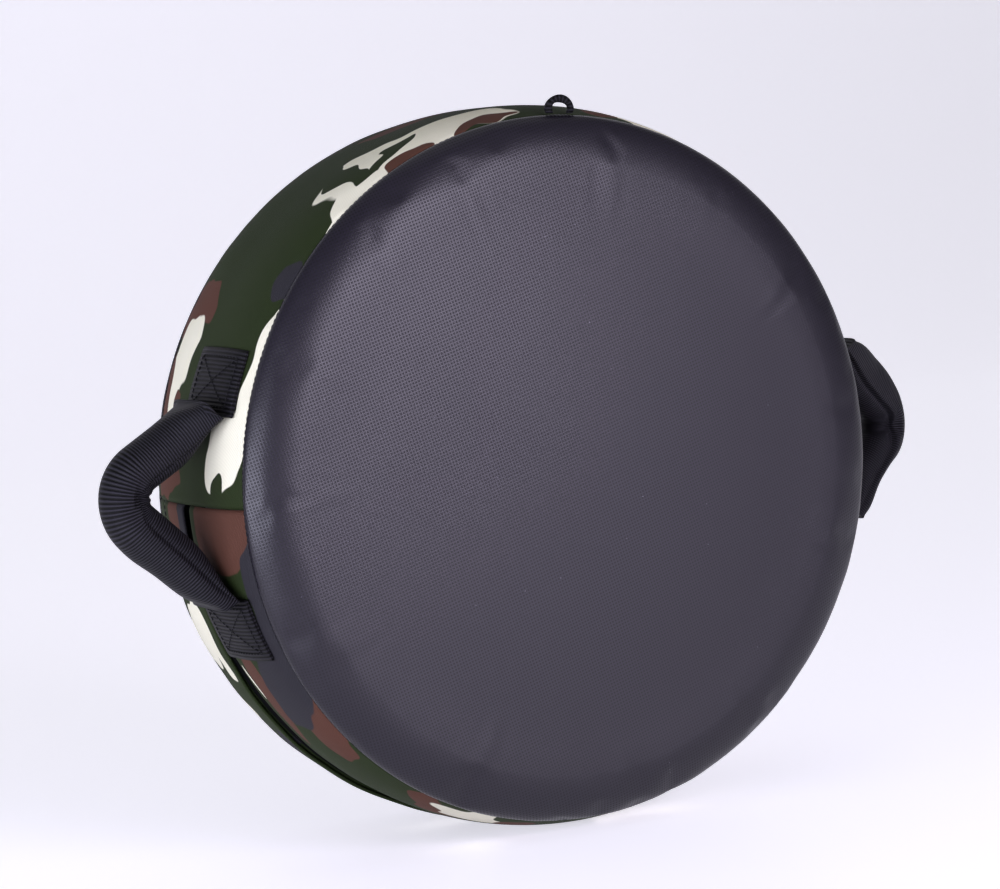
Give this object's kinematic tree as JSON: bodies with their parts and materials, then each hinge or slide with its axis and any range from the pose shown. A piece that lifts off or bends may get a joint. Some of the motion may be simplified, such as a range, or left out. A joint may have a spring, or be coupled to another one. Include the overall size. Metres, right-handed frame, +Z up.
{
  "type": "round strike shield",
  "caption": "Round padded shield for kick and punch training: a zipped cloth cover with vinyl faces over foam, webbing grips on both sides and a small hanging loop on top.",
  "frame": {"origin": "on the floor under the middle of the pad, which stands on its edge", "axes": "+X to the right grip as seen from the front, +Y to the rear face, +Z up; the crowned front face looks along -Y"},
  "size_m": [0.5389, 0.151, 0.4226],
  "materials": {
    "face_vinyl": "embossed vinyl, satin",
    "camo_cloth": "twill weave with a printed camouflage pattern, matt",
    "pad_foam": "closed-cell foam, matt",
    "webbing": "ribbed webbing, matt",
    "zip_tape": "woven tape, matt",
    "zip_teeth": "moulded, satin",
    "zip_metal": "black painted, semi-gloss"
  },
  "bodies": {
    "pad": {"front_panel": "face_vinyl", "rear_panel": "face_vinyl", "upper_band": "camo_cloth", "lower_front_band": "camo_cloth", "lower_rear_band": "camo_cloth", "zip_flap": "camo_cloth", "front_foam": "pad_foam", "core_foam": "pad_foam", "rear_foam": "pad_foam", "zip_tape_front": "zip_tape", "zip_tape_rear": "zip_tape", "zip_teeth_front": "zip_teeth", "zip_teeth_rear": "zip_teeth", "zip_stops": "zip_metal", "left_upper_tab": "webbing", "left_lower_tab": "webbing", "left_upper_neck": "webbing", "left_lower_neck": "webbing", "right_upper_tab": "webbing", "right_lower_tab": "webbing", "right_upper_neck": "webbing", "right_lower_neck": "webbing", "loop_anchor": "webbing"},
    "left_grip": {"left_sleeve": "webbing", "left_grip_foam": "pad_foam", "left_strap": "webbing"},
    "right_grip": {"right_sleeve": "webbing", "right_grip_foam": "pad_foam", "right_strap": "webbing"},
    "loop": {"hanging_loop": "webbing"},
    "slider": {"zip_slider": "zip_metal"},
    "pull": {"zip_pull": "zip_metal"}
  },
  "joints": [
    {"name": "left_grip_swing", "type": "hinge", "parent": "pad", "child": "left_grip", "pos_m": [-0.20504, -0.0272, 0.2095], "axis": [0, 0, -1], "range_deg": [-40, 40], "deforming": ["left_upper_neck", "left_lower_neck"]},
    {"name": "right_grip_swing", "type": "hinge", "parent": "pad", "child": "right_grip", "pos_m": [0.20504, -0.0272, 0.2095], "axis": [0, 0, 1], "range_deg": [-60, 20], "deforming": ["right_upper_neck", "right_lower_neck"]},
    {"name": "loop_flop", "type": "hinge", "parent": "pad", "child": "loop", "pos_m": [0.00964, -0.0635, 0.41437], "axis": [0.9989, 0, -0.047], "range_deg": [-60, 80]},
    {"name": "zip_travel", "type": "hinge", "parent": "pad", "child": "slider", "pos_m": [0, 0.003, 0.2095], "axis": [0, 1, 0], "range_deg": [0, 165], "deforming": ["zip_teeth_front", "zip_teeth_rear"]},
    {"name": "pull_flip", "type": "hinge", "parent": "slider", "child": "pull", "pos_m": [0.20636, 0.003, 0.1847], "axis": [0, -1, 0], "range_deg": [0, 120]}
  ]
}
